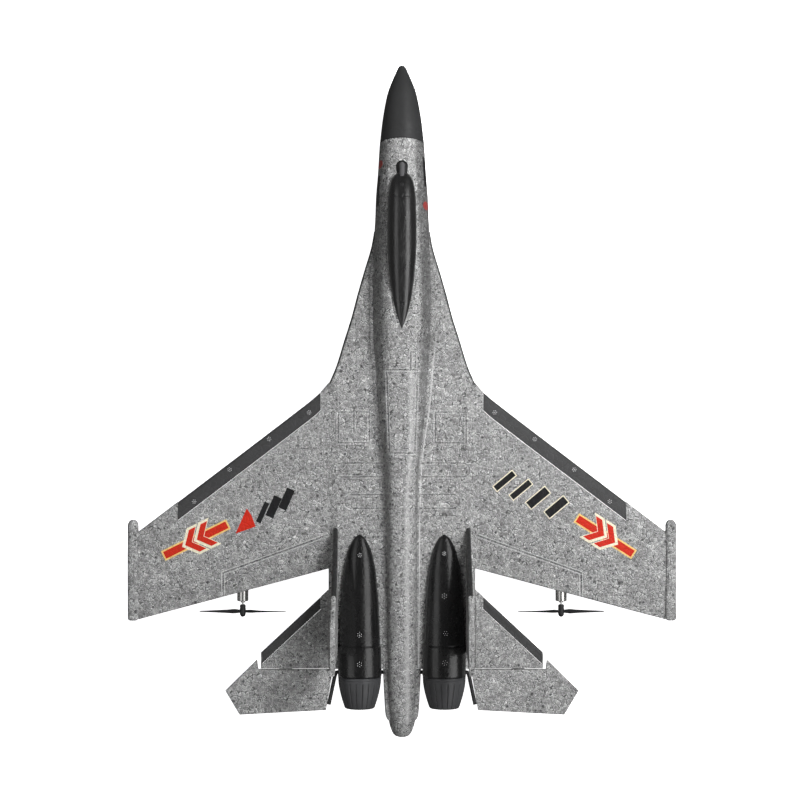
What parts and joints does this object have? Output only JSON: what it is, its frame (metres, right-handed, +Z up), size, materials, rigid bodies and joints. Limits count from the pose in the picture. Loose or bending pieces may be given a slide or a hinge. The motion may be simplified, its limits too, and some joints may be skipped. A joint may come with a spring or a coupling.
{
  "type": "rc jet plane",
  "caption": "Grey foam radio-controlled jet plane: upright fins, glossy dark canopy and engine covers, pusher propellers behind the wing, hinged tail elevators, belly battery hatch.",
  "frame": {"origin": "middle of the plane's length and span, on the ground under the intake trunks", "axes": "+Y towards the nose, +X to the pilot's right hand, +Z up"},
  "size_m": [0.34, 0.417, 0.081],
  "materials": {
    "foam_grey": "matte",
    "foam_dark": "matte",
    "nose_plastic": "satin",
    "gloss_black": "gloss",
    "matt_black": "matte",
    "black_plastic": "satin",
    "steel": "polished",
    "carbon": "satin",
    "battery_wrap": "gloss",
    "white_plastic": "satin",
    "board_green": "satin",
    "clear_film": "satin",
    "lead_red": "satin"
  },
  "bodies": {
    "airframe": {"fuselage_upper": "foam_grey", "fuselage_lower": "foam_grey", "centre_deck": "foam_grey", "wing_left": "foam_grey", "wing_right": "foam_grey", "stabiliser_left": "foam_grey", "stabiliser_right": "foam_grey", "fin_left": "foam_grey", "fin_right": "foam_grey", "intake_trunk_left": "foam_grey", "intake_trunk_right": "foam_grey", "wingtip_rail_left": "foam_grey", "wingtip_rail_right": "foam_grey", "wing_edge_strip_left": "foam_dark", "wing_edge_strip_right": "foam_dark", "tail_edge_strip_left": "foam_dark", "tail_edge_strip_right": "foam_dark", "fin_edge_strip_left": "foam_dark", "fin_edge_strip_right": "foam_dark", "nose_cone": "nose_plastic", "canopy": "gloss_black", "sensor_fairing": "gloss_black", "nacelle_cover_left": "gloss_black", "nacelle_cover_right": "gloss_black", "nozzle_left": "matt_black", "nozzle_right": "matt_black", "motor_mount_left": "black_plastic", "motor_mount_right": "black_plastic", "servo_case": "black_plastic", "switch_body": "black_plastic", "motor_can_left": "steel", "motor_can_right": "steel", "wing_spar": "carbon", "battery": "battery_wrap", "battery_plug": "white_plastic", "receiver_board": "board_green", "hinge_film_left": "clear_film", "hinge_film_right": "clear_film", "motor_lead_left": "lead_red", "motor_lead_right": "lead_red"},
    "propeller_left": {"propeller_left": "black_plastic", "motor_shaft_left": "steel"},
    "propeller_right": {"propeller_right": "black_plastic", "motor_shaft_right": "steel"},
    "elevator": {"elevator_left": "foam_grey", "elevator_right": "foam_grey", "elevator_joiner": "black_plastic", "control_horn": "white_plastic"},
    "pushrod": {"pushrod": "steel"},
    "servo_arm": {"servo_arm": "white_plastic"},
    "battery_hatch": {"battery_hatch": "foam_grey"},
    "switch_knob": {"switch_knob": "white_plastic"}
  },
  "joints": [
    {"name": "propeller_left_spin", "type": "hinge", "parent": "airframe", "child": "propeller_left", "pos_m": [-0.0992, -0.1315, 0.0186], "axis": [0, 1, 0], "continuous": true},
    {"name": "propeller_right_spin", "type": "hinge", "parent": "airframe", "child": "propeller_right", "pos_m": [0.0992, -0.1315, 0.0186], "axis": [0, 1, 0], "continuous": true},
    {"name": "elevator_pitch", "type": "hinge", "parent": "airframe", "child": "elevator", "pos_m": [0, -0.1685, 0.025], "axis": [1, 0, 0], "range_deg": [-22, 22], "deforming": ["hinge_film_left", "hinge_film_right"]},
    {"name": "pushrod_slide", "type": "slide", "parent": "airframe", "child": "pushrod", "axis": [0, 1, 0], "range_m": [-0.0024, 0.0024]},
    {"name": "servo_arm_turn", "type": "hinge", "parent": "airframe", "child": "servo_arm", "pos_m": [0, 0.0185, 0.0135], "axis": [1, 0, 0], "range_deg": [-24.5, 24.5]},
    {"name": "battery_hatch_open", "type": "hinge", "parent": "airframe", "child": "battery_hatch", "pos_m": [0, 0.0952, 0.00715], "axis": [1, 0, 0], "range_deg": [0, 100]},
    {"name": "switch_slide", "type": "slide", "parent": "airframe", "child": "switch_knob", "axis": [0, 1, 0], "range_m": [0, 0.002]}
  ],
  "couplings": [
    {"joint": "pushrod_slide", "follows": "elevator_pitch", "m_per_rad": 0.006},
    {"joint": "servo_arm_turn", "follows": "elevator_pitch", "ratio": -1.0909}
  ]
}
